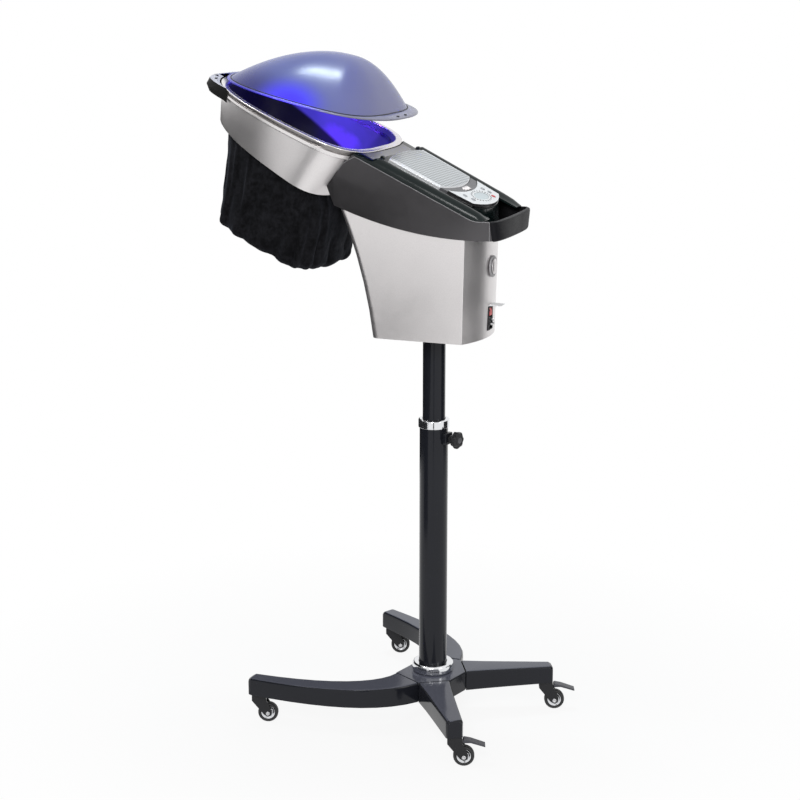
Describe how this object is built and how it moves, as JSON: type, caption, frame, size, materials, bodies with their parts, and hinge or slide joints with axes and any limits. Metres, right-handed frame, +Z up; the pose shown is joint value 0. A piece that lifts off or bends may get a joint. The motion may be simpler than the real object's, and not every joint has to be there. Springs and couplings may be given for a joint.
{
  "type": "hair steamer",
  "caption": "Salon hair steamer: tilted hood with a hinged dome visor and cloth curtain, console with water tank and controls, on a lifting column with a caster base.",
  "frame": {"origin": "middle of the bounding box at floor level", "axes": "+Z up, +X towards the grab handle at the rear of the head, hood towards -X"},
  "size_m": [0.7411, 0.5539, 1.3755],
  "materials": {
    "silver_plastic": "satin champagne silver",
    "grey_plastic": "fine-grained dark grey",
    "gloss_black": "glossy black",
    "black_steel": "glossy black powder coat",
    "matte_black": "satin black",
    "chrome": "polished chrome",
    "pale_plastic": "pale grey",
    "steel": "plain steel",
    "red_plastic": "red",
    "display_glass": "clear window over a pale display",
    "clear_plastic": "translucent",
    "circuit_board": "green board",
    "hose_rubber": "grey hose",
    "liner_plastic": "dark",
    "light_strip": "blue light diffuser",
    "visor_smoke": "smoky translucent",
    "velvet": "black velvet",
    "tyre_rubber": "smooth black"
  },
  "bodies": {
    "base": {"base_hub": "gloss_black", "leg_front_left": "gloss_black", "leg_front_right": "gloss_black", "leg_rear_left": "gloss_black", "leg_rear_right": "gloss_black", "base_ring": "chrome", "outer_tube": "black_steel", "tube_collar": "chrome", "guide_bush": "pale_plastic"},
    "caster_front_left": {"caster_fork_front_left": "matte_black"},
    "wheel_front_left": {"wheel_hub_front_left": "pale_plastic", "tyre_front_left": "tyre_rubber"},
    "caster_front_right": {"caster_fork_front_right": "matte_black"},
    "wheel_front_right": {"wheel_hub_front_right": "pale_plastic", "tyre_front_right": "tyre_rubber"},
    "caster_rear_left": {"caster_fork_rear_left": "matte_black"},
    "wheel_rear_left": {"wheel_hub_rear_left": "pale_plastic", "tyre_rear_left": "tyre_rubber"},
    "caster_rear_right": {"caster_fork_rear_right": "matte_black"},
    "wheel_rear_right": {"wheel_hub_rear_right": "pale_plastic", "tyre_rear_right": "tyre_rubber"},
    "brake_rear_left": {"brake_pedal_rear_left": "matte_black"},
    "brake_rear_right": {"brake_pedal_rear_right": "matte_black"},
    "knob": {"clamp_knob": "matte_black"},
    "mast": {"mast_tube": "black_steel"},
    "visor": {"visor_dome": "visor_smoke"},
    "cover": {"tank_cover": "silver_plastic"},
    "latch": {"latch_button": "silver_plastic"},
    "button_time_up": {"button_time_up": "pale_plastic"},
    "button_time_down": {"button_time_down": "pale_plastic"},
    "button_heat_up": {"button_heat_up": "pale_plastic"},
    "button_heat_down": {"button_heat_down": "pale_plastic"},
    "button_power": {"button_power": "red_plastic"},
    "rocker": {"power_switch": "red_plastic"},
    "flap": {"inlet_flap": "pale_plastic"},
    "head": {"lower_housing": "silver_plastic", "bottom_plate": "matte_black", "mast_socket": "steel", "side_panel_left": "grey_plastic", "side_panel_right": "grey_plastic", "rear_handle": "matte_black", "top_deck": "gloss_black", "latch_bezel": "grey_plastic", "control_panel": "silver_plastic", "display_window": "display_glass", "water_tank": "clear_plastic", "control_board": "circuit_board", "boiler": "steel", "steam_pipe": "hose_rubber", "rear_cap": "chrome", "power_inlet": "matte_black", "hood_shell": "silver_plastic", "hood_rim": "silver_plastic", "hood_liner": "liner_plastic", "light_strip": "light_strip", "steam_nozzle": "matte_black", "front_lip": "silver_plastic", "hinge_pin": "steel", "curtain": "velvet"}
  },
  "joints": [
    {"name": "mast_lift", "type": "slide", "parent": "base", "child": "mast", "axis": [0, 0, 1], "range_m": [-0.16, 0.15]},
    {"name": "head_swivel", "type": "hinge", "parent": "mast", "child": "head", "pos_m": [0.0988, -0.0456, 0.9], "axis": [0, 0, 1], "continuous": true},
    {"name": "clamp_knob_turn", "type": "hinge", "parent": "base", "child": "knob", "pos_m": [0.13628, -0.05564, 0.611], "axis": [0.9659, -0.2588, 0], "range_deg": [-360, 0]},
    {"name": "visor_hinge", "type": "hinge", "parent": "head", "child": "visor", "pos_m": [-0.35473, -0.0456, 1.32197], "axis": [0, -1, 0], "range_deg": [-9.5, 55]},
    {"name": "tank_cover_hinge", "type": "hinge", "parent": "head", "child": "cover", "pos_m": [0.02676, -0.0456, 1.18098], "axis": [0, -1, 0], "range_deg": [0, 70]},
    {"name": "latch_button_press", "type": "slide", "parent": "head", "child": "latch", "axis": [-0.4363, 0, -0.8998], "range_m": [0, 0.001], "stiffness_N_per_m": 900},
    {"name": "button_time_up_press", "type": "slide", "parent": "head", "child": "button_time_up", "axis": [-0.4363, 0, -0.8998], "range_m": [0, 0.001], "stiffness_N_per_m": 700},
    {"name": "button_time_down_press", "type": "slide", "parent": "head", "child": "button_time_down", "axis": [-0.4363, 0, -0.8998], "range_m": [0, 0.001], "stiffness_N_per_m": 700},
    {"name": "button_heat_up_press", "type": "slide", "parent": "head", "child": "button_heat_up", "axis": [-0.4363, 0, -0.8998], "range_m": [0, 0.001], "stiffness_N_per_m": 700},
    {"name": "button_heat_down_press", "type": "slide", "parent": "head", "child": "button_heat_down", "axis": [-0.4363, 0, -0.8998], "range_m": [0, 0.001], "stiffness_N_per_m": 700},
    {"name": "button_power_press", "type": "slide", "parent": "head", "child": "button_power", "axis": [-0.4363, 0, -0.8998], "range_m": [0, 0.001], "stiffness_N_per_m": 700},
    {"name": "power_switch_rock", "type": "hinge", "parent": "head", "child": "rocker", "pos_m": [0.21096, -0.0456, 0.8762], "axis": [0, 1, 0], "range_deg": [0, 14]},
    {"name": "inlet_flap_hinge", "type": "hinge", "parent": "head", "child": "flap", "pos_m": [0.21886, -0.0456, 0.8911], "axis": [0, 1, 0], "range_deg": [0, 80]},
    {"name": "caster_swivel_front_left", "type": "hinge", "parent": "base", "child": "caster_front_left", "pos_m": [-0.2334, -0.20138, 0.062], "axis": [0, 0, 1], "continuous": true},
    {"name": "wheel_spin_front_left", "type": "hinge", "parent": "caster_front_left", "child": "wheel_front_left", "pos_m": [-0.21364, -0.19426, 0.021], "axis": [-0.3387, 0.9409, 0], "continuous": true},
    {"name": "caster_swivel_front_right", "type": "hinge", "parent": "base", "child": "caster_front_right", "pos_m": [-0.111, 0.25541, 0.062], "axis": [0, 0, 1], "continuous": true},
    {"name": "wheel_spin_front_right", "type": "hinge", "parent": "caster_front_right", "child": "wheel_front_right", "pos_m": [-0.09124, 0.26252, 0.021], "axis": [-0.3387, 0.9409, 0], "continuous": true},
    {"name": "caster_swivel_rear_left", "type": "hinge", "parent": "base", "child": "caster_rear_left", "pos_m": [0.21828, -0.25648, 0.062], "axis": [0, 0, 1], "continuous": true},
    {"name": "wheel_spin_rear_left", "type": "hinge", "parent": "caster_rear_left", "child": "wheel_rear_left", "pos_m": [0.23804, -0.24936, 0.021], "axis": [-0.3387, 0.9409, 0], "continuous": true},
    {"name": "caster_swivel_rear_right", "type": "hinge", "parent": "base", "child": "caster_rear_right", "pos_m": [0.30771, 0.07729, 0.062], "axis": [0, 0, 1], "continuous": true},
    {"name": "wheel_spin_rear_right", "type": "hinge", "parent": "caster_rear_right", "child": "wheel_rear_right", "pos_m": [0.32747, 0.0844, 0.021], "axis": [-0.3387, 0.9409, 0], "continuous": true},
    {"name": "brake_pedal_rear_left_press", "type": "hinge", "parent": "caster_rear_left", "child": "brake_rear_left", "pos_m": [0.23926, -0.24892, 0.0534], "axis": [-0.3387, 0.9409, 0], "range_deg": [0, 12]},
    {"name": "brake_pedal_rear_right_press", "type": "hinge", "parent": "caster_rear_right", "child": "brake_rear_right", "pos_m": [0.32869, 0.08484, 0.0534], "axis": [-0.3387, 0.9409, 0], "range_deg": [0, 12]}
  ]
}
